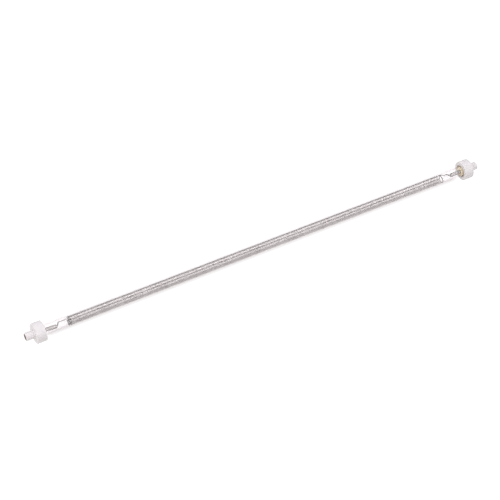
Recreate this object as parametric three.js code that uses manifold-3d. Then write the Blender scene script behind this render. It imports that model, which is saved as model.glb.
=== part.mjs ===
// Quartz-tube infrared heat lamp for a food warmer: a close-wound resistance coil in a clear
// quartz tube, with a cemented ceramic cap and a metal end contact at each end.
// Millimetres, +Z up. The tube's axis is X and the origin is the lamp's middle.

import * as THREE from 'three';
import * as BufferGeometryUtils from 'three/addons/utils/BufferGeometryUtils.js';
import Module from 'manifold-3d';

// ---------------------------------------------------------------- driving dimensions
const OVERALL_LENGTH = 403.0;       // contact face to contact face
const FIT_GAP = 0.25;               // clearance kept between neighbouring pieces

const TUBE_RADIUS = 9.525 / 2;      // quartz tube, 3/8 inch outside
const TUBE_WALL = 0.7;
const TUBE_END_INSET = 2.3;         // shoulder face back to the tube's end

const CAP_RADIUS = 15.9 / 2;        // ceramic cap body, 5/8 inch
const CAP_LENGTH = 7.7;
const CAP_CHAMFER = 0.35;
const SOCKET_RADIUS = 5.3;          // pocket that takes the tube and its cement
const SOCKET_DEPTH = 6.0;
const NOSE_RADIUS = 6.35 / 2;       // quarter-inch nose that the holder grips
const NOSE_LENGTH = 7.0;
const NOSE_BORE_RADIUS = 1.05;
const NOSE_RECESS_RADIUS = 2.4;     // counterbore for the contact's head
const NOSE_RECESS_DEPTH = 1.1;

const CONTACT_HEAD_RADIUS = 2.15;
const CONTACT_HEAD_THICKNESS = 1.0;
const CONTACT_SHANK_RADIUS = 0.8;
const CONTACT_SHANK_END = 186.2;    // distance of the shank's inner end from mid-length
const CONTACT_CHAMFER = 0.15;

const FERRULE_RADIUS = 1.55;        // crimp tube that joins the coil's tail to the contact
const FERRULE_BORE_RADIUS = 1.05;
const FERRULE_TIP = 176.1;          // its inner end, from mid-length
const FERRULE_END = 191.6;          // its end inside the cap
const FERRULE_TAPER = 0.45;         // the tip is drawn in a little by the crimp
const FERRULE_TAPER_LENGTH = 0.7;

const PLUG_BORE_RADIUS = FERRULE_RADIUS + FIT_GAP;
const PLUG_PROUD = { left: 0.0, right: 1.0 };   // how far the cement stands out of the cap's mouth
const BOND_SETBACK = 0.25;          // cement ring's distance in from the cap's mouth
const BOND_GAP = 0.12;              // the ring is thin, so it stands closer than other pieces

const WIRE_RADIUS = 0.42;           // resistance wire of the coil
const COIL_RADIUS = 3.6;            // outside of the winding
const COIL_DROP = 0.3;              // the coil lies low in the bore under its own weight
const TAIL_SETTLE = 0.38;           // a tail's wire lies against one side of the ferrule's bore
const WIRE_PLANE_TURN = 43.5 * Math.PI / 180;

// Where the touching turns stop, the pitches of the open turns beyond them, and the tail's
// route as [distance from mid-length, height in the wire plane, distance square to it].
const COIL_ENDS = {
  left: {
    closeEnd: 165.8,
    openPitches: [2.2],
    tail: [
      [168.5, 2.6, 0.0],
      [169.3, 2.25, 0.0],
      [170.4, 2.17, 0.0],
      [172.4, 2.24, 0.0],
      [173.6, 2.2, 0.0],
      [174.4, 1.7, 0.0],
      [175.2, 0.5, 0.0],
      [176.1, -0.3, 0.0],
      [177.2, -TAIL_SETTLE, 0.0],
      [180.4, -TAIL_SETTLE, 0.0],
    ],
  },
  right: {
    closeEnd: 163.9,
    openPitches: [2.4, 1.9],
    tail: [
      [169.0, 2.6, 0.0],
      [169.8, 2.1, 0.0],
      [171.2, 2.1, 0.0],
      [172.6, 2.2, 0.0],
      [173.5, 1.8, 0.0],
      [174.2, 1.2, 0.0],
      [175.1, 0.45, 0.0],
      [176.2, 0.0, 0.0],
      [180.4, 0.0, 0.0],
    ],
  },
};

const ROUND_SEGMENTS = 48;
const SMALL_ROUND_SEGMENTS = 32;
const WIRE_SIDES = 10;
const TURN_POINTS = 20;
const TAIL_STEPS = { left: 80, right: 110 };

// ---------------------------------------------------------------- derived positions
const CONTACT_FACE = OVERALL_LENGTH / 2;
const NOSE_TIP = CONTACT_FACE - 0.1;
const SHOULDER = CONTACT_FACE - NOSE_LENGTH;
const CAP_MOUTH = SHOULDER - CAP_LENGTH;
const SOCKET_FLOOR = CAP_MOUTH + SOCKET_DEPTH;
const TUBE_END = SHOULDER - TUBE_END_INSET;
const TUBE_BORE_RADIUS = TUBE_RADIUS - TUBE_WALL;
const COIL_MEAN_RADIUS = COIL_RADIUS - WIRE_RADIUS;

// ---------------------------------------------------------------- materials
const finish = (color, roughness, metalness, opacity = 1) => new THREE.MeshStandardMaterial({
  color, roughness, metalness, opacity, transparent: opacity < 1,
});
const QUARTZ = finish(0xf4f0f2, 0.05, 0.0, 0.3);
const RESISTANCE_WIRE = finish(0x8d8884, 0.38, 1.0);
const CERAMIC = finish(0xf1ecea, 0.45, 0.0);
const TAN_CEMENT = finish(0xc4b294, 0.9, 0.0);
const PALE_CEMENT = finish(0xdcd7d2, 0.9, 0.0);
const CONTACT_METAL = finish(0x6a5344, 0.4, 1.0);
const FERRULE_METAL = finish(0x9c9a96, 0.35, 1.0);

// ---------------------------------------------------------------- helpers
// A body turned about X. The profile lists [x, radius] and runs towards +X.
function turned(profile, segments = SMALL_ROUND_SEGMENTS) {
  const points = profile.map(([x, radius]) => new THREE.Vector2(radius, x));
  const geometry = new THREE.LatheGeometry(points, segments, Math.PI / segments);
  geometry.rotateZ(-Math.PI / 2);
  return geometry;
}

// A ring turned about X: outside, inside and two flat ends.
function ring(start, end, inner, outer, segments) {
  return turned(
    [[start, inner], [start, outer], [end, outer], [end, inner], [start, inner]],
    segments,
  );
}

// A round wire along a smooth curve through the points.
function wire(points, radius, steps) {
  const section = new THREE.Shape();
  section.absarc(0, 0, radius, 0, 2 * Math.PI, false);
  return new THREE.ExtrudeGeometry(section, {
    steps,
    bevelEnabled: false,
    curveSegments: WIRE_SIDES / 2,
    extrudePath: new THREE.CatmullRomCurve3(points),
  });
}

// A point at x, given by its height in the plane of the tails and its distance square to it.
function wirePoint(x, up, out = 0) {
  const cos = Math.cos(WIRE_PLANE_TURN);
  const sin = Math.sin(WIRE_PLANE_TURN);
  return new THREE.Vector3(x, up * cos - out * sin, up * sin + out * cos);
}

const wasm = await Module();
wasm.setup();

function toSolid(geometry) {
  const bare = geometry.clone();
  bare.deleteAttribute('normal');
  bare.deleteAttribute('uv');
  const merged = BufferGeometryUtils.mergeVertices(bare, 1e-4);
  return new wasm.Manifold(new wasm.Mesh({
    numProp: 3,
    vertProperties: new Float32Array(merged.attributes.position.array),
    triVerts: new Uint32Array(merged.index.array),
  }));
}

function fromSolid(solid) {
  const mesh = solid.getMesh();
  const geometry = new THREE.BufferGeometry();
  geometry.setAttribute('position', new THREE.BufferAttribute(mesh.vertProperties, 3));
  geometry.setIndex(new THREE.BufferAttribute(mesh.triVerts, 1));
  geometry.computeVertexNormals();
  return geometry;
}

function addPiece(parent, name, geometry, material) {
  const mesh = new THREE.Mesh(geometry, material);
  mesh.name = name;
  parent.add(mesh);
}

// ---------------------------------------------------------------- quartz tube
function quartzTube() {
  return ring(-TUBE_END, TUBE_END, TUBE_BORE_RADIUS, TUBE_RADIUS, ROUND_SEGMENTS);
}

// ---------------------------------------------------------------- heating coil
// The winding's turns touch, so its body is a sleeve. The last turns at each end stand open and
// run out into a tail that dips into the ferrule.
function coilTail(name, direction) {
  const { closeEnd, openPitches, tail } = COIL_ENDS[name];
  const points = [];
  let start = closeEnd;
  for (const pitch of openPitches) {
    for (let step = 0; step < TURN_POINTS; step += 1) {
      const share = step / TURN_POINTS;
      const angle = direction * 2 * Math.PI * share;
      const up = COIL_MEAN_RADIUS * Math.cos(angle);
      const out = COIL_MEAN_RADIUS * Math.sin(angle);
      const point = wirePoint(direction * (start + pitch * share), up, out);
      points.push(point.add(new THREE.Vector3(0, 0, -COIL_DROP)));
    }
    start += pitch;
  }
  for (const [distance, up, out] of tail) {
    points.push(wirePoint(direction * distance, up, out));
  }
  return wire(points, WIRE_RADIUS, TAIL_STEPS[name]);
}

function heatingCoil() {
  const innerRadius = COIL_RADIUS - 2 * WIRE_RADIUS;
  const leftEnd = -COIL_ENDS.left.closeEnd - WIRE_RADIUS;
  const rightEnd = COIL_ENDS.right.closeEnd + WIRE_RADIUS;
  const sleeve = ring(leftEnd, rightEnd, innerRadius, COIL_RADIUS, ROUND_SEGMENTS);
  sleeve.translate(0, 0, -COIL_DROP);
  const leftTail = coilTail('left', -1);
  const rightTail = coilTail('right', 1);
  return fromSolid(toSolid(sleeve).add(toSolid(leftTail)).add(toSolid(rightTail)));
}

// ---------------------------------------------------------------- pieces of the right-hand end
function ceramicCap() {
  return turned([
    [SOCKET_FLOOR, NOSE_BORE_RADIUS],
    [SOCKET_FLOOR, SOCKET_RADIUS],
    [CAP_MOUTH, SOCKET_RADIUS],
    [CAP_MOUTH, CAP_RADIUS - CAP_CHAMFER],
    [CAP_MOUTH + CAP_CHAMFER, CAP_RADIUS],
    [SHOULDER - CAP_CHAMFER, CAP_RADIUS],
    [SHOULDER, CAP_RADIUS - CAP_CHAMFER],
    [SHOULDER, NOSE_RADIUS],
    [NOSE_TIP - CAP_CHAMFER / 2, NOSE_RADIUS],
    [NOSE_TIP, NOSE_RADIUS - CAP_CHAMFER / 2],
    [NOSE_TIP, NOSE_RECESS_RADIUS],
    [CONTACT_FACE - NOSE_RECESS_DEPTH - FIT_GAP, NOSE_RECESS_RADIUS],
    [CONTACT_FACE - NOSE_RECESS_DEPTH - FIT_GAP, NOSE_BORE_RADIUS],
    [SOCKET_FLOOR, NOSE_BORE_RADIUS],
  ], ROUND_SEGMENTS);
}

function bondCement() {
  const inner = TUBE_RADIUS + BOND_GAP;
  const outer = SOCKET_RADIUS - BOND_GAP;
  return ring(CAP_MOUTH + BOND_SETBACK, TUBE_END, inner, outer, ROUND_SEGMENTS);
}

function plugCement(side) {
  const outer = TUBE_BORE_RADIUS - FIT_GAP;
  return ring(CAP_MOUTH - PLUG_PROUD[side], TUBE_END, PLUG_BORE_RADIUS, outer, ROUND_SEGMENTS);
}

function endContact() {
  const headBack = CONTACT_FACE - CONTACT_HEAD_THICKNESS;
  return turned([
    [CONTACT_SHANK_END, 0],
    [CONTACT_SHANK_END, CONTACT_SHANK_RADIUS],
    [headBack, CONTACT_SHANK_RADIUS],
    [headBack, CONTACT_HEAD_RADIUS],
    [CONTACT_FACE - CONTACT_CHAMFER, CONTACT_HEAD_RADIUS],
    [CONTACT_FACE, CONTACT_HEAD_RADIUS - CONTACT_CHAMFER],
    [CONTACT_FACE, 0],
  ]);
}

function terminalFerrule() {
  return turned([
    [FERRULE_TIP, FERRULE_BORE_RADIUS - FERRULE_TAPER / 2],
    [FERRULE_TIP, FERRULE_RADIUS - FERRULE_TAPER],
    [FERRULE_TIP + FERRULE_TAPER_LENGTH, FERRULE_RADIUS],
    [FERRULE_END, FERRULE_RADIUS],
    [FERRULE_END, FERRULE_BORE_RADIUS],
    [FERRULE_TIP + FERRULE_TAPER_LENGTH, FERRULE_BORE_RADIUS],
    [FERRULE_TIP, FERRULE_BORE_RADIUS - FERRULE_TAPER / 2],
  ]);
}

// ---------------------------------------------------------------- assembly
const group = new THREE.Group();
group.name = 'heat_lamp';

addPiece(group, 'quartz_tube', quartzTube(), QUARTZ);
addPiece(group, 'heating_coil', heatingCoil(), RESISTANCE_WIRE);

for (const [side, direction] of [['left', -1], ['right', 1]]) {
  const end = new THREE.Group();
  end.rotation.z = direction < 0 ? Math.PI : 0;
  addPiece(end, `${side}_ceramic_cap`, ceramicCap(), CERAMIC);
  addPiece(end, `${side}_bond_cement`, bondCement(), PALE_CEMENT);
  addPiece(end, `${side}_plug_cement`, plugCement(side), TAN_CEMENT);
  addPiece(end, `${side}_end_contact`, endContact(), CONTACT_METAL);
  addPiece(end, `${side}_terminal_ferrule`, terminalFerrule(), FERRULE_METAL);
  group.add(end);
}

export default group;
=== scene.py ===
"""Looks of a quartz-tube heat lamp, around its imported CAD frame. Metres, +Z up, tube along X."""

import math

import bmesh
import bpy
import numpy as np
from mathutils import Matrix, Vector


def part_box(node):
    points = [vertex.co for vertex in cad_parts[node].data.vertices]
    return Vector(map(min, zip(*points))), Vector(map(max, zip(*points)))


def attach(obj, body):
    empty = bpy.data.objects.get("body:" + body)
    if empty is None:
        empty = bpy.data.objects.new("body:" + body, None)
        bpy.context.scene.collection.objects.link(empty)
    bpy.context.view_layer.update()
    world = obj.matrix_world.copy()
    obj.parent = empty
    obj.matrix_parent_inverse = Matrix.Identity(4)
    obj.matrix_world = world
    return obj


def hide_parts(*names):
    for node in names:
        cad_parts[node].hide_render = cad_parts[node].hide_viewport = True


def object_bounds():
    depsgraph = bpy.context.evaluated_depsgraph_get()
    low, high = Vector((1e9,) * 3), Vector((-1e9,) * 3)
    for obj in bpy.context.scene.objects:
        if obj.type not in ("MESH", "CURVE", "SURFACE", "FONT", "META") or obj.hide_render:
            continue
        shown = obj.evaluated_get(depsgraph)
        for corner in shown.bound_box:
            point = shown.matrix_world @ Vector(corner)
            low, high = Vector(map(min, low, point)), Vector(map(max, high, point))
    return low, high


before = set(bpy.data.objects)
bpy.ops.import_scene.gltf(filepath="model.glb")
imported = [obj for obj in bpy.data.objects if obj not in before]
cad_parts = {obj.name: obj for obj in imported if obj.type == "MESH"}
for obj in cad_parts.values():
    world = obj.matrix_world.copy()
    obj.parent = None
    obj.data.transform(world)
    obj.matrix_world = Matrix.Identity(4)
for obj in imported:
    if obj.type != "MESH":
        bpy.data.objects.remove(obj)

CAD_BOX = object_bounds()
MM = 0.001
BODY = "root"

# ---------------------------------------------------------------- camera
CAMERA_AZIMUTH = math.radians(-29.42)
CAMERA_ELEVATION = math.radians(42.53)
CAMERA_DISTANCE = 1.2055
CAMERA_TARGET = Vector((-0.01149, 0.001307, 0.000117))
CAMERA_LENS = 111.64


def make_camera():
    toward_camera = Vector((
        math.sin(CAMERA_AZIMUTH) * math.cos(CAMERA_ELEVATION),
        -math.cos(CAMERA_AZIMUTH) * math.cos(CAMERA_ELEVATION),
        math.sin(CAMERA_ELEVATION),
    ))
    data = bpy.data.cameras.new("camera")
    data.lens = CAMERA_LENS
    data.sensor_width = 36.0
    data.clip_start = 0.01
    data.clip_end = 50.0
    camera = bpy.data.objects.new("camera", data)
    camera.location = CAMERA_TARGET + toward_camera * CAMERA_DISTANCE
    camera.rotation_euler = toward_camera.to_track_quat("Z", "Y").to_euler()
    bpy.context.scene.collection.objects.link(camera)
    bpy.context.scene.camera = camera


make_camera()

# ---------------------------------------------------------------- sizes, from the frame
tube_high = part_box("quartz_tube")[1]
cap_low, cap_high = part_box("right_ceramic_cap")
contact_low, contact_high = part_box("right_end_contact")
ferrule_low, ferrule_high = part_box("right_terminal_ferrule")

TUBE_RADIUS = 4.7625 * MM
TUBE_WALL = 0.7 * MM
TUBE_BORE = TUBE_RADIUS - TUBE_WALL
TUBE_END = tube_high.x
CAP_RADIUS = 7.95 * MM
CAP_MOUTH = cap_low.x
CAP_SHOULDER = cap_low.x + 7.7 * MM
NOSE_TIP = cap_high.x
NOSE_RADIUS = 3.175 * MM
SOCKET_RADIUS = 5.25 * MM
SOCKET_FLOOR = CAP_MOUTH + 6.0 * MM
NOSE_BORE = 1.05 * MM
RECESS_RADIUS = 2.4 * MM
RECESS_DEPTH = 1.25 * MM
CONTACT_FACE = contact_high.x
CONTACT_INNER = contact_low.x
CONTACT_HEAD_RADIUS = 2.15 * MM
CONTACT_SHANK_RADIUS = 0.8 * MM
FERRULE_TIP = ferrule_low.x
FERRULE_END = ferrule_high.x
FERRULE_RADIUS = 1.55 * MM
FERRULE_BORE = 1.02 * MM
PLUG_PROUD = {-1: 0.0, 1: 0.8 * MM}
FERRULE_DROP = {-1: 0.75 * MM, 1: 0.50 * MM}
FERRULE_PIVOT = {-1: FERRULE_END, 1: CAP_MOUTH}

WIRE_RADIUS = 0.425 * MM
COIL_MEAN_RADIUS = 3.18 * MM
COIL_DROP = TUBE_BORE - COIL_MEAN_RADIUS - WIRE_RADIUS - 0.03 * MM
WIRE_PLANE_TURN = math.radians(43.5)

ROUND_STEPS = 128
SMALL_ROUND_STEPS = 64
SHARP_ANGLE = math.radians(40)
AXIS_TOLERANCE = 1e-9
# A wire's end is domed by rings of these shares of its radius, to this share of its height.
DOME_SHARES = (0.35, 0.75)
DOME_HEIGHT = 0.6


# ---------------------------------------------------------------- mesh helpers
def make_object(name, vertices, faces, material, nodes):
    mesh = bpy.data.meshes.new(name)
    mesh.from_pydata([tuple(v) for v in vertices], [], faces)
    mesh.validate()
    tidy = bmesh.new()
    tidy.from_mesh(mesh)
    bmesh.ops.recalc_face_normals(tidy, faces=tidy.faces)
    tidy.to_mesh(mesh)
    tidy.free()
    mesh.shade_smooth()
    mesh.set_sharp_from_angle(angle=SHARP_ANGLE)
    mesh.materials.append(material)
    piece = bpy.data.objects.new(name, mesh)
    bpy.context.scene.collection.objects.link(piece)
    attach(piece, BODY)
    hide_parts(*nodes)
    return piece


def rounded(profile, steps=6):
    """A closed outline of (x, radius, fillet) corners, with each corner rounded to its fillet."""
    points = []
    count = len(profile)
    for index, (x, r, fillet) in enumerate(profile):
        corner = Vector((x, r))
        if fillet <= 0:
            points.append(corner)
            continue
        before = (Vector(profile[index - 1][:2]) - corner).normalized()
        after = (Vector(profile[(index + 1) % count][:2]) - corner).normalized()
        half = before.angle(after) / 2
        reach = fillet / math.tan(half)
        centre = corner + (before + after).normalized() * (fillet / math.sin(half))
        start = corner + before * reach - centre
        end = corner + after * reach - centre
        for step in range(steps + 1):
            share = step / steps
            direction = start.slerp(end, share)
            points.append(centre + direction.normalized() * fillet)
    return points


def revolve(outline, steps, closed=True, warp=None):
    """Vertices and faces of an outline turned about X. An open outline starts and ends on the axis."""
    vertices = []
    faces = []
    rows = []
    for point in outline:
        if point[1] < AXIS_TOLERANCE:
            rows.append([len(vertices)] * steps)
            vertices.append((point[0], 0.0, 0.0))
            continue
        row = []
        for step in range(steps):
            angle = 2 * math.pi * step / steps
            x, r = (point[0], point[1]) if warp is None else warp(point[0], point[1], angle)
            row.append(len(vertices))
            vertices.append((x, r * math.cos(angle), r * math.sin(angle)))
        rows.append(row)
    count = len(rows)
    for index in range(count if closed else count - 1):
        a = rows[index]
        b = rows[(index + 1) % count]
        for step in range(steps):
            after = (step + 1) % steps
            corners = [a[step], a[after], b[after], b[step]]
            face = [c for k, c in enumerate(corners) if c != corners[k - 1]]
            if len(face) >= 3:
                faces.append(face)
    return vertices, faces


def mirrored(side, vertices, faces):
    """The right-hand piece as it stands, or turned half round about Z for the left."""
    if side > 0:
        return vertices, faces
    return [(-x, -y, z) for x, y, z in vertices], faces


def sweep(path, radii, sides):
    """A round wire along a dense path, with domed ends."""
    path = np.asarray(path, float)
    count = len(path)
    radii = np.broadcast_to(np.asarray(radii, float), (count,))
    tangents = np.gradient(path, axis=0)
    tangents /= np.linalg.norm(tangents, axis=1)[:, None]
    normal = np.cross(tangents[0], (0.0, 0.0, 1.0))
    if np.linalg.norm(normal) < 1e-3:
        normal = np.cross(tangents[0], (0.0, 1.0, 0.0))
    normal /= np.linalg.norm(normal)
    angles = 2 * np.pi * np.arange(sides) / sides
    rings = []
    for index in range(count):
        tangent = tangents[index]
        normal = normal - tangent * np.dot(normal, tangent)
        normal /= np.linalg.norm(normal)
        binormal = np.cross(tangent, normal)
        circle = np.outer(np.cos(angles), normal) + np.outer(np.sin(angles), binormal)
        if index == 0:
            for share in DOME_SHARES:
                height = math.sqrt(1 - share * share)
                tip = path[0] - tangent * radii[0] * height * DOME_HEIGHT
                rings.append(tip + circle * radii[0] * share)
        rings.append(path[index] + circle * radii[index])
        if index == count - 1:
            for share in DOME_SHARES[::-1]:
                height = math.sqrt(1 - share * share)
                tip = path[-1] + tangent * radii[-1] * height * DOME_HEIGHT
                rings.append(tip + circle * radii[-1] * share)
    vertices = np.concatenate(rings)
    faces = []
    for row in range(len(rings) - 1):
        for k in range(sides):
            after = (k + 1) % sides
            faces.append((row * sides + k, row * sides + after,
                          (row + 1) * sides + after, (row + 1) * sides + k))
    faces.append(tuple(range(sides - 1, -1, -1)))
    last = (len(rings) - 1) * sides
    faces.append(tuple(range(last, last + sides)))
    return vertices, faces


def smooth_path(points, spacing):
    """A Catmull-Rom curve through the points, cut into even short steps."""
    points = [np.asarray(p, float) for p in points]
    padded = [2 * points[0] - points[1]] + points + [2 * points[-1] - points[-2]]
    dense = []
    for a, b, c, d in zip(padded, padded[1:], padded[2:], padded[3:]):
        for t in np.arange(0, 1, 0.05):
            dense.append(0.5 * (2 * b + (c - a) * t + (2 * a - 5 * b + 4 * c - d) * t ** 2
                                + (3 * b - a - 3 * c + d) * t ** 3))
    dense.append(points[-1])
    dense = np.array(dense)
    lengths = np.concatenate([[0], np.cumsum(np.linalg.norm(np.diff(dense, axis=0), axis=1))])
    stations = np.linspace(0, lengths[-1], max(2, int(lengths[-1] / spacing) + 1))
    return np.stack([np.interp(stations, lengths, dense[:, k]) for k in range(3)], axis=1)


def wire_point(x, up, out=0.0, drop=0.0):
    """A point from its height in the plane of the tails and its distance square to that plane."""
    cos = math.cos(WIRE_PLANE_TURN)
    sin = math.sin(WIRE_PLANE_TURN)
    return (x, up * cos - out * sin, up * sin + out * cos - drop)


# ---------------------------------------------------------------- material helpers
def new_material(name):
    material = bpy.data.materials.new(name)
    material.use_nodes = True
    nodes = material.node_tree.nodes
    return material, nodes, material.node_tree.links, nodes["Principled BSDF"]


def object_coordinates(nodes, links, scale=(1.0, 1.0, 1.0)):
    source = nodes.new("ShaderNodeTexCoord")
    mapping = nodes.new("ShaderNodeMapping")
    mapping.inputs["Scale"].default_value = scale
    links.new(source.outputs["Object"], mapping.inputs["Vector"])
    return mapping.outputs["Vector"]


def noise(nodes, links, vector, scale, detail=3.0, roughness=0.5):
    texture = nodes.new("ShaderNodeTexNoise")
    texture.inputs["Scale"].default_value = scale
    texture.inputs["Detail"].default_value = detail
    texture.inputs["Roughness"].default_value = roughness
    links.new(vector, texture.inputs["Vector"])
    return texture.outputs["Fac"]


def ramp(nodes, links, factor, stops):
    node = nodes.new("ShaderNodeValToRGB")
    elements = node.color_ramp.elements
    while len(elements) < len(stops):
        elements.new(0.5)
    for element, (position, colour) in zip(elements, stops):
        element.position = position
        element.color = (*colour, 1.0)
    links.new(factor, node.inputs["Fac"])
    return node.outputs["Color"]


def spread(nodes, links, factor, low, high):
    node = nodes.new("ShaderNodeMapRange")
    node.inputs["To Min"].default_value = low
    node.inputs["To Max"].default_value = high
    links.new(factor, node.inputs["Value"])
    return node.outputs["Result"]


def bump(nodes, links, shader, height, distance, strength=1.0):
    node = nodes.new("ShaderNodeBump")
    node.inputs["Distance"].default_value = distance
    node.inputs["Strength"].default_value = strength
    links.new(height, node.inputs["Height"])
    links.new(node.outputs["Normal"], shader.inputs["Normal"])


def fade(nodes, links, value, start, end, high=1.0, low=0.0):
    """High up to the start, falling softly to low at the end."""
    node = nodes.new("ShaderNodeMapRange")
    node.interpolation_type = "SMOOTHSTEP"
    node.inputs["From Min"].default_value = start
    node.inputs["From Max"].default_value = end
    node.inputs["To Min"].default_value = high
    node.inputs["To Max"].default_value = low
    links.new(value, node.inputs["Value"])
    return node.outputs["Result"]


def maths(nodes, links, operation, first, second=None):
    node = nodes.new("ShaderNodeMath")
    node.operation = operation
    for socket, value in zip(node.inputs, (first, second)):
        if value is None:
            continue
        if isinstance(value, (int, float)):
            socket.default_value = value
        else:
            links.new(value, socket)
    return node.outputs["Value"]


def tinted(nodes, links, colour, factor):
    node = nodes.new("ShaderNodeVectorMath")
    node.operation = "SCALE"
    links.new(colour, node.inputs[0])
    links.new(factor, node.inputs["Scale"])
    return node.outputs["Vector"]


def mix_shaders(nodes, links, share, first, second):
    mix = nodes.new("ShaderNodeMixShader")
    links.new(share, mix.inputs["Fac"])
    links.new(first, mix.inputs[1])
    links.new(second, mix.inputs[2])
    return mix.outputs["Shader"]


# ---------------------------------------------------------------- materials
QUARTZ_TINT = (0.963, 0.95, 0.956, 1.0)
QUARTZ_EDGE_POWER = 5.0
QUARTZ_MIRROR = (0.035, 0.35)
METAL_GRAIN_SCALE = 5200.0


def make_ceramic():
    material, nodes, links, shader = new_material("white_steatite")
    place = object_coordinates(nodes, links)
    cloud = noise(nodes, links, place, scale=120.0, detail=4.0)
    tone = ramp(nodes, links, cloud, [
        (0.30, (0.767, 0.735, 0.750)),
        (0.70, (0.791, 0.761, 0.779)),
    ])
    links.new(tone, shader.inputs["Base Color"])
    links.new(spread(nodes, links, cloud, low=0.36, high=0.52), shader.inputs["Roughness"])
    shader.inputs["Specular IOR Level"].default_value = 0.2
    grain = noise(nodes, links, place, scale=3200.0, detail=2.0)
    bump(nodes, links, shader, grain, distance=0.04 * MM, strength=0.2)
    return material


def make_quartz():
    """Clear quartz: see-through, with a mirror share that grows towards the glancing edges."""
    material, nodes, links, shader = new_material("clear_quartz")
    shader.inputs["Base Color"].default_value = (0.98, 0.97, 0.975, 1.0)
    shader.inputs["Metallic"].default_value = 1.0
    shader.inputs["Roughness"].default_value = 0.04
    place = object_coordinates(nodes, links, (6.0, 420.0, 420.0))
    draw_lines = noise(nodes, links, place, scale=1.0, detail=2.0)
    bump(nodes, links, shader, draw_lines, distance=0.01 * MM, strength=0.2)
    clear = nodes.new("ShaderNodeBsdfTransparent")
    clear.inputs["Color"].default_value = QUARTZ_TINT
    facing = nodes.new("ShaderNodeLayerWeight")
    facing.inputs["Blend"].default_value = 0.5
    glancing = maths(nodes, links, "POWER", facing.outputs["Facing"], QUARTZ_EDGE_POWER)
    mirror = spread(nodes, links, glancing, *QUARTZ_MIRROR)
    path = nodes.new("ShaderNodeLightPath")
    not_shadow = maths(nodes, links, "SUBTRACT", 1.0, path.outputs["Is Shadow Ray"])
    share = maths(nodes, links, "MULTIPLY", mirror, not_shadow)
    surface = mix_shaders(nodes, links, share, clear.outputs["BSDF"], shader.outputs["BSDF"])
    links.new(surface, nodes["Material Output"].inputs["Surface"])
    return material


def make_metal(name, dark, light, smooth, rough, scale, painted_end_shade=()):
    """Metal in two tones.

    Each painted-shade step (start, end, level) dims it down to level, as the distance from mid-length
    goes
    from start to end. It is painted shade: the wire is darker towards its ends.
    """
    material, nodes, links, shader = new_material(name)
    place = object_coordinates(nodes, links)
    patches = noise(nodes, links, place, scale, detail=4.0, roughness=0.6)
    tone = ramp(nodes, links, patches, [(0.32, dark), (0.68, light)])
    # Painted shade: each step darkens the metal by its distance from mid-length along X.
    for start, end, level in painted_end_shade:
        split = nodes.new("ShaderNodeSeparateXYZ")
        links.new(place, split.inputs["Vector"])
        distance = maths(nodes, links, "ABSOLUTE", split.outputs["X"])
        tone = tinted(nodes, links, tone, fade(nodes, links, distance, start, end, 1.0, level))
    links.new(tone, shader.inputs["Base Color"])
    shader.inputs["Metallic"].default_value = 1.0
    links.new(spread(nodes, links, patches, smooth, rough), shader.inputs["Roughness"])
    grain = noise(nodes, links, place, METAL_GRAIN_SCALE, detail=2.0)
    bump(nodes, links, shader, grain, distance=0.012 * MM, strength=0.5)
    return material


def make_cement(name, dark, middle, light):
    material, nodes, links, shader = new_material(name)
    place = object_coordinates(nodes, links)
    cloud = noise(nodes, links, place, scale=700.0, detail=5.0, roughness=0.65)
    tone = ramp(nodes, links, cloud, [(0.25, dark), (0.55, middle), (0.80, light)])
    links.new(tone, shader.inputs["Base Color"])
    shader.inputs["Roughness"].default_value = 0.85
    grain = noise(nodes, links, place, scale=2600.0, detail=4.0, roughness=0.7)
    bump(nodes, links, shader, grain, distance=0.12 * MM, strength=0.8)
    return material


CERAMIC = make_ceramic()
QUARTZ = make_quartz()
TAN_CEMENT = make_cement(
    "tan_cement", dark=(0.72, 0.62, 0.39), middle=(0.86, 0.77, 0.53), light=(0.92, 0.86, 0.67),
)
PALE_CEMENT = make_cement(
    "pale_cement", dark=(0.66, 0.62, 0.59), middle=(0.73, 0.69, 0.66), light=(0.78, 0.75, 0.73),
)
COIL_METAL = make_metal(
    "resistance_wire", dark=(0.42, 0.405, 0.395), light=(0.50, 0.485, 0.475),
    smooth=0.24, rough=0.34, scale=90.0,
    # Painted shade: the end turns and the tails are darkened by their distance along X.
    painted_end_shade=[(164.8 * MM, 165.6 * MM, 0.5), (172.4 * MM, 173.6 * MM, 0.55)],
)
FERRULE_METAL = make_metal(
    "nickel_plate", dark=(0.27, 0.26, 0.25), light=(0.36, 0.35, 0.34),
    smooth=0.46, rough=0.58, scale=700.0,
)
CONTACT_METAL = make_metal(
    "tarnished_bronze", dark=(0.07, 0.035, 0.018), light=(0.20, 0.11, 0.06),
    smooth=0.35, rough=0.6, scale=900.0,
)


# ---------------------------------------------------------------- quartz tube
def make_tube():
    lip = 0.3 * MM
    outline = rounded([
        (-TUBE_END, TUBE_BORE, lip),
        (-TUBE_END, TUBE_RADIUS, lip),
        (TUBE_END, TUBE_RADIUS, lip),
        (TUBE_END, TUBE_BORE, lip),
    ])
    vertices, faces = revolve(outline, ROUND_STEPS)
    make_object("quartz_tube_glass", vertices, faces, QUARTZ, ["quartz_tube"])


make_tube()


# ---------------------------------------------------------------- heating coil
CLOSE_TURNS = 376
TURN_STEPS = 26
WIRE_SIDES = 8
LEFT_CLOSE_END = -166.0 * MM
RIGHT_CLOSE_END = 163.9 * MM
LEFT_OPEN_TURNS = [2.2 * MM]
LEFT_START_STEPS = 4
RIGHT_OPEN_TURNS = [2.4 * MM, 1.9 * MM]
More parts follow.
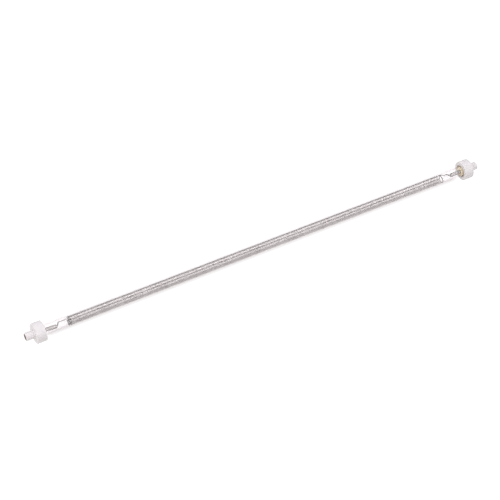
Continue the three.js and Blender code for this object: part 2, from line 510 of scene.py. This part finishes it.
# The winding is a little uneven, along the tube and in its sag. A wave is in radians a turn.
WANDER = 0.03 * MM
WANDER_WAVE = 0.83
FINE_WANDER = 0.02 * MM
FINE_WANDER_WAVE = 2.9
SAG_WANDER = 0.02 * MM
SAG_WAVE = 0.19
BLEND_STEPS = 6
PATH_SPACING = 0.35 * MM
LEFT_TAIL = [(168.6, 1.95, 2.0), (169.4, 1.75, 1.5), (170.6, 1.66, 0.7), (172.4, 1.72, 0.0),
             (173.6, 1.88, 0.0), (174.5, 1.38, 0.0), (175.3, 0.08, 0.0), (176.0, -0.73, 0.0),
             (177.0, -0.71, 0.0), (179.5, -0.59, 0.0)]
RIGHT_TAIL = [(168.9, 2.3, 0.5), (169.8, 1.6, 0.6), (171.2, 1.5, 0.4), (172.6, 1.6, 0.2),
              (173.5, 1.4, 0.0), (174.2, 1.0, 0.0), (175.1, 0.1, 0.0), (176.0, -0.49, 0.0),
              (177.2, -0.45, 0.0), (179.5, -0.34, 0.0)]


def coil_centreline():
    """The wire's path: left tail, open turn, close winding, open turns, right tail."""
    turns = [*LEFT_OPEN_TURNS, *[0.0] * CLOSE_TURNS, *RIGHT_OPEN_TURNS]
    pitch = (RIGHT_CLOSE_END - LEFT_CLOSE_END) / CLOSE_TURNS
    starts = [LEFT_CLOSE_END - sum(LEFT_OPEN_TURNS)]
    for index, step in enumerate(turns):
        starts.append(starts[-1] + (step or pitch))
    stations = np.arange(len(turns) * TURN_STEPS + 1) / TURN_STEPS
    x = np.interp(stations, np.arange(len(starts)), starts)
    turn_angle = 2 * np.pi * stations
    wander = WANDER * np.sin(stations * WANDER_WAVE)
    fine_wander = FINE_WANDER * np.sin(stations * FINE_WANDER_WAVE + 1.0)
    x = x + wander + fine_wander
    sag = COIL_DROP - SAG_WANDER * (1 + np.sin(stations * SAG_WAVE))
    helix = [
        wire_point(px, COIL_MEAN_RADIUS * math.cos(a), COIL_MEAN_RADIUS * math.sin(a), s)
        for px, a, s in zip(x, turn_angle, sag)
    ][LEFT_START_STEPS:]
    left = [wire_point(-d * MM, u * MM, o * MM) for d, u, o in LEFT_TAIL]
    right = [wire_point(d * MM, u * MM, o * MM) for d, u, o in RIGHT_TAIL]
    head = smooth_path(left[::-1] + helix[:BLEND_STEPS:2], PATH_SPACING)
    tail = smooth_path(helix[-BLEND_STEPS::2] + right, PATH_SPACING)
    middle = np.array(helix[BLEND_STEPS - 1:-BLEND_STEPS - 1])
    return np.concatenate([head, middle, tail])


def make_coil():
    vertices, faces = sweep(coil_centreline(), WIRE_RADIUS, WIRE_SIDES)
    make_object("heating_coil_wire", vertices, faces, COIL_METAL, ["heating_coil"])


make_coil()


# ---------------------------------------------------------------- ends of the lamp
CEMENT_GAP = 0.02 * MM
LUMP_HEIGHT = 0.05 * MM
CONTACT_HEAD_DEPTH = 1.0 * MM
CONTACT_DIMPLE_RADIUS = 0.3 * MM
CONTACT_DIMPLE_DEPTH = 0.08 * MM


def ceramic_cap():
    edge = 0.35 * MM
    nose_root = 0.3 * MM
    nose_edge = 0.25 * MM
    small = 0.15 * MM
    outline = rounded([
        (SOCKET_FLOOR, NOSE_BORE, 0),
        (SOCKET_FLOOR, SOCKET_RADIUS, small),
        (CAP_MOUTH, SOCKET_RADIUS, small),
        (CAP_MOUTH, CAP_RADIUS, edge),
        (CAP_SHOULDER, CAP_RADIUS, edge),
        (CAP_SHOULDER, NOSE_RADIUS, nose_root),
        (NOSE_TIP, NOSE_RADIUS, nose_edge),
        (NOSE_TIP, RECESS_RADIUS, small),
        (CONTACT_FACE - RECESS_DEPTH, RECESS_RADIUS, 0),
        (CONTACT_FACE - RECESS_DEPTH, NOSE_BORE, 0),
    ])
    return revolve(outline, ROUND_STEPS)


def bond_cement():
    inner = TUBE_RADIUS + CEMENT_GAP
    outer = SOCKET_RADIUS - CEMENT_GAP
    fill = CAP_MOUTH + 0.12 * MM
    crest = CAP_MOUTH - 0.2 * MM
    outline = rounded([
        (TUBE_END, inner, 0),
        (TUBE_END, outer, 0),
        (fill, outer, 0),
        (crest, (inner + outer) / 2, 0.1 * MM),
        (crest, inner, 0),
    ])
    return revolve(outline, ROUND_STEPS)


def plug_cement(side):
    inner = FERRULE_RADIUS + 0.05 * MM
    outer = TUBE_BORE - CEMENT_GAP
    face = CAP_MOUTH - PLUG_PROUD[side]
    lumpy_to = face + 0.5 * MM
    outline = rounded([
        (TUBE_END, inner, 0),
        (TUBE_END, outer, 0),
        (face, outer, 0.08 * MM),
        (face - 0.05 * MM, inner * 1.5, 0.5 * MM),
        (face, inner, 0),
    ])

    def lumps(x, r, angle):
        if x > lumpy_to:
            return x, r
        wave = math.sin(3 * angle + 0.7) + 0.6 * math.sin(5 * angle + 2.0) + 0.4 * math.sin(9 * angle)
        return x + LUMP_HEIGHT * wave, r

    return revolve(outline, SMALL_ROUND_STEPS, warp=lumps)


def end_contact():
    head_back = CONTACT_FACE - CONTACT_HEAD_DEPTH
    outline = [Vector((CONTACT_INNER, 0.0))]
    outline += rounded([
        (CONTACT_INNER, 0.3 * MM, 0),
        (CONTACT_INNER, CONTACT_SHANK_RADIUS, 0.2 * MM),
        (head_back, CONTACT_SHANK_RADIUS, 0),
        (head_back, CONTACT_HEAD_RADIUS, 0.1 * MM),
        (CONTACT_FACE, CONTACT_HEAD_RADIUS, 0.25 * MM),
        (CONTACT_FACE, 0.6 * MM, 0),
    ])
    outline.append(Vector((CONTACT_FACE - CONTACT_DIMPLE_DEPTH, CONTACT_DIMPLE_RADIUS)))
    outline.append(Vector((CONTACT_FACE - CONTACT_DIMPLE_DEPTH, 0.0)))
    return revolve(outline, SMALL_ROUND_STEPS, closed=False)


CRIMP_DENTS = [(3.6 * MM, 3.6, 0.16 * MM), (3.6 * MM, 3.6 + math.pi, 0.12 * MM)]
CRIMP_DENT_HALF_LENGTH = 0.9 * MM
TIP_BORE = 0.49 * MM
FERRULE_STATIONS = 72
FERRULE_STRAIGHT_FROM = 5
PLUG_BORE_REACH = FERRULE_RADIUS + 0.1 * MM


def leaned(side, vertices, reach):
    """Vertices moved down with the leaning ferrule, where they are within reach of the axis."""
    pivot = FERRULE_PIVOT[side]
    lean = FERRULE_DROP[side] / (pivot - FERRULE_TIP)
    moved = []
    for x, y, z in vertices:
        drop = lean * max(0.0, pivot - abs(x)) if math.hypot(y, z) < reach else 0.0
        _, down_y, down_z = wire_point(0.0, -drop)
        moved.append((x, y + down_y, z + down_z))
    return moved


def terminal_ferrule(side):
    """A thin metal tube with a drawn-in tip, dented where it is crimped, and leaning a little."""
    length = FERRULE_END - FERRULE_TIP
    outside = [
        (FERRULE_TIP + length * k / FERRULE_STATIONS, FERRULE_RADIUS)
        for k in range(FERRULE_STRAIGHT_FROM, FERRULE_STATIONS + 1)
    ]
    inside = [(x, FERRULE_BORE) for x, _ in outside[::-3]]
    tip = [
        (FERRULE_TIP + 0.5 * MM, FERRULE_BORE - 0.35 * MM),
        (FERRULE_TIP + 0.1 * MM, TIP_BORE),
        (FERRULE_TIP, TIP_BORE + 0.12 * MM),
        (FERRULE_TIP + 0.1 * MM, TIP_BORE + 0.42 * MM),
        (FERRULE_TIP + 0.4 * MM, FERRULE_RADIUS - 0.25 * MM),
        (FERRULE_TIP + 0.75 * MM, FERRULE_RADIUS - 0.06 * MM),
    ]

    def crimped(x, r, angle):
        for distance, direction, depth in CRIMP_DENTS:
            along = (x - FERRULE_TIP - distance) / CRIMP_DENT_HALF_LENGTH
            around = max(0.0, math.cos(angle - direction))
            r -= depth * math.exp(-along * along) * around ** 3
        return x, r

    outline = [Vector(point) for point in inside + tip + outside]
    vertices, faces = revolve(outline, SMALL_ROUND_STEPS, warp=crimped)
    vertices, faces = mirrored(side, vertices, faces)
    return leaned(side, vertices, math.inf), faces


for side_name, side in (("left", -1), ("right", 1)):
    for shape, piece, material, slot, node, reach in (
        (ceramic_cap(), "cap_body", CERAMIC, "ceramic", "ceramic_cap", 0.0),
        (bond_cement(), "bond_ring", PALE_CEMENT, "pale_cement", "bond_cement", 0.0),
        (plug_cement(side), "cement_plug", TAN_CEMENT, "tan_cement", "plug_cement", PLUG_BORE_REACH),
        (end_contact(), "contact_rivet", CONTACT_METAL, "contact_metal", "end_contact", math.inf),
    ):
        vertices, faces = mirrored(side, *shape)
        vertices = leaned(side, vertices, reach)
        make_object(f"{side_name}_{piece}", vertices, faces, material, [f"{side_name}_{node}"])
    vertices, faces = terminal_ferrule(side)
    make_object(f"{side_name}_crimped_ferrule", vertices, faces, FERRULE_METAL,
                [f"{side_name}_terminal_ferrule"])


# ---------------------------------------------------------------- floor and light
FLOOR_HALF = 3.0
FLOOR_WHITE = (1.0, 1.0, 1.0, 1.12)
FLOOR_BOUNCE = (1.0, 0.96, 0.92, 0.60)
FLOOR_MIRRORED = (1.0, 1.0, 1.0, 1.35)
FLOOR_FAR_MIRRORED = 0.4
FLOOR_MIRRORED_FADE = (0.18, 0.26)
SKY_WHITE = (1.0, 1.0, 1.0, 1.12)
SKY_FILL = (1.0, 0.985, 1.0, 0.64)
SKY_MIRRORED = (1.0, 1.0, 1.0, 4.6)
# What metal mirrors above the floor: [degrees from the front over the top to the back, level].
SKY_BANDS = [(0, 0.36), (18, 0.48), (37, 0.80), (52, 0.26), (64, 0.16), (78, 0.46),
             (96, 1.0), (116, 0.50), (140, 0.16), (165, 0.10), (180, 0.10)]
SKY_END_FADE = (0.55, 0.92, 1.0, 0.25)
SHADE_TINT = (1.0, 0.93, 0.91, 0.55)
SHADE_CENTRE = 1.9 * MM
SHADE_HALF_WIDTH = 4.4 * MM
SHADE_HALF_LENGTH = 186.0 * MM
SHADE_END_FADE = 6.0 * MM
SHADE_DEPTH = 0.5


def glow(nodes, links, shader_type, level):
    red, green, blue, strength = level
    shader = nodes.new(shader_type)
    shader.inputs["Color"].default_value = (red, green, blue, 1.0)
    shader.inputs["Strength"].default_value = strength
    return shader


def by_ray(nodes, links, seen, lit, mirrored):
    """One of three glows: for what is looked at, what lights matt surfaces, what metal mirrors."""
    path = nodes.new("ShaderNodeLightPath")
    matt = maths(nodes, links, "MINIMUM", path.outputs["Diffuse Depth"], 1.0)
    surface = mix_shaders(nodes, links, matt, seen, lit)
    return mix_shaders(nodes, links, path.outputs["Is Glossy Ray"], surface, mirrored)


def contact_shade(nodes, links, x, y):
    """A soft darker strip on the floor under the tube, as a share from 0 to 1."""
    along = fade(nodes, links, maths(nodes, links, "ABSOLUTE", x),
                 SHADE_HALF_LENGTH - SHADE_END_FADE, SHADE_HALF_LENGTH)
    offset = maths(nodes, links, "SUBTRACT", y, SHADE_CENTRE)
    across = fade(nodes, links, maths(nodes, links, "ABSOLUTE", offset), 0.0, SHADE_HALF_WIDTH)
    return maths(nodes, links, "MULTIPLY", maths(nodes, links, "MULTIPLY", along, across), SHADE_DEPTH)


def make_floor():
    """A white floor with a soft shade under the tube. What metal mirrors of it fades far out along X."""
    half = FLOOR_HALF
    z = CAD_BOX[0][2] - 0.02 * MM
    mesh = bpy.data.meshes.new("studio_floor")
    corners = [(-half, -half, z), (half, -half, z), (half, half, z), (-half, half, z)]
    mesh.from_pydata(corners, [], [(0, 1, 2, 3)])
    material = bpy.data.materials.new("white_floor")
    material.use_nodes = True
    nodes = material.node_tree.nodes
    links = material.node_tree.links
    nodes.remove(nodes["Principled BSDF"])
    seen, lit, mirrored = (
        glow(nodes, links, "ShaderNodeEmission", level)
        for level in (FLOOR_WHITE, FLOOR_BOUNCE, FLOOR_MIRRORED)
    )
    source = nodes.new("ShaderNodeTexCoord")
    split = nodes.new("ShaderNodeSeparateXYZ")
    links.new(source.outputs["Object"], split.inputs["Vector"])
    x = split.outputs["X"]
    far = fade(nodes, links, maths(nodes, links, "ABSOLUTE", x), *FLOOR_MIRRORED_FADE,
               FLOOR_MIRRORED[3], FLOOR_FAR_MIRRORED)
    links.new(far, mirrored.inputs["Strength"])
    shade = contact_shade(nodes, links, x, split.outputs["Y"])
    dim = glow(nodes, links, "ShaderNodeEmission", SHADE_TINT)
    looked_at = mix_shaders(nodes, links, shade, seen.outputs[0], dim.outputs[0])
    surface = by_ray(nodes, links, looked_at, lit.outputs[0], mirrored.outputs[0])
    links.new(surface, nodes["Material Output"].inputs["Surface"])
    mesh.materials.append(material)
    floor = bpy.data.objects.new("studio_floor", mesh)
    bpy.context.scene.collection.objects.link(floor)


def make_light(name, elevation, azimuth, distance, size, watts, colour):
    """A softbox aimed at the lamp. Elevation is measured from the front, over the top, to the back."""
    data = bpy.data.lights.new(name, "AREA")
    data.shape = "RECTANGLE"
    data.size = size[0]
    data.size_y = size[1]
    data.energy = watts
    data.color = colour
    light = bpy.data.objects.new(name, data)
    place = Vector((
        math.sin(azimuth),
        -math.cos(azimuth) * math.cos(elevation),
        math.cos(azimuth) * math.sin(elevation),
    )) * distance
    light.location = place
    light.rotation_euler = place.to_track_quat("Z", "Y").to_euler()
    light.visible_glossy = False
    bpy.context.scene.collection.objects.link(light)


def make_world():
    world = bpy.data.worlds.new("studio")
    world.use_nodes = True
    nodes = world.node_tree.nodes
    links = world.node_tree.links
    nodes.remove(nodes["Background"])
    seen, lit, mirrored = (
        glow(nodes, links, "ShaderNodeBackground", level)
        for level in (SKY_WHITE, SKY_FILL, SKY_MIRRORED)
    )
    source = nodes.new("ShaderNodeTexCoord")
    split = nodes.new("ShaderNodeSeparateXYZ")
    links.new(source.outputs["Generated"], split.inputs["Vector"])
    front = maths(nodes, links, "MULTIPLY", split.outputs["Y"], -1.0)
    angle = maths(nodes, links, "ARCTAN2", split.outputs["Z"], front)
    turn = maths(nodes, links, "DIVIDE", angle, math.pi)
    bands = ramp(nodes, links, turn, [(degrees / 180, (level,) * 3) for degrees, level in SKY_BANDS])
    ends = fade(nodes, links, maths(nodes, links, "ABSOLUTE", split.outputs["X"]), *SKY_END_FADE)
    links.new(tinted(nodes, links, bands, ends), mirrored.inputs["Color"])
    surface = by_ray(nodes, links, seen.outputs[0], lit.outputs[0], mirrored.outputs[0])
    links.new(surface, nodes["World Output"].inputs["Surface"])
    bpy.context.scene.world = world


make_floor()
make_world()
make_light("top_softbox", elevation=math.radians(97), azimuth=0.0, distance=1.5,
           size=(2.2, 0.7), watts=6.9, colour=(1.0, 0.985, 1.0))
make_light("front_softbox", elevation=math.radians(30), azimuth=0.0, distance=1.6,
           size=(2.2, 0.5), watts=6.0, colour=(1.0, 0.99, 0.98))
make_light("left_softbox", elevation=math.radians(60), azimuth=math.radians(-72), distance=1.5,
           size=(1.0, 1.0), watts=6.0, colour=(1.0, 0.985, 0.97))
bpy.context.scene.view_settings.view_transform = "Standard"
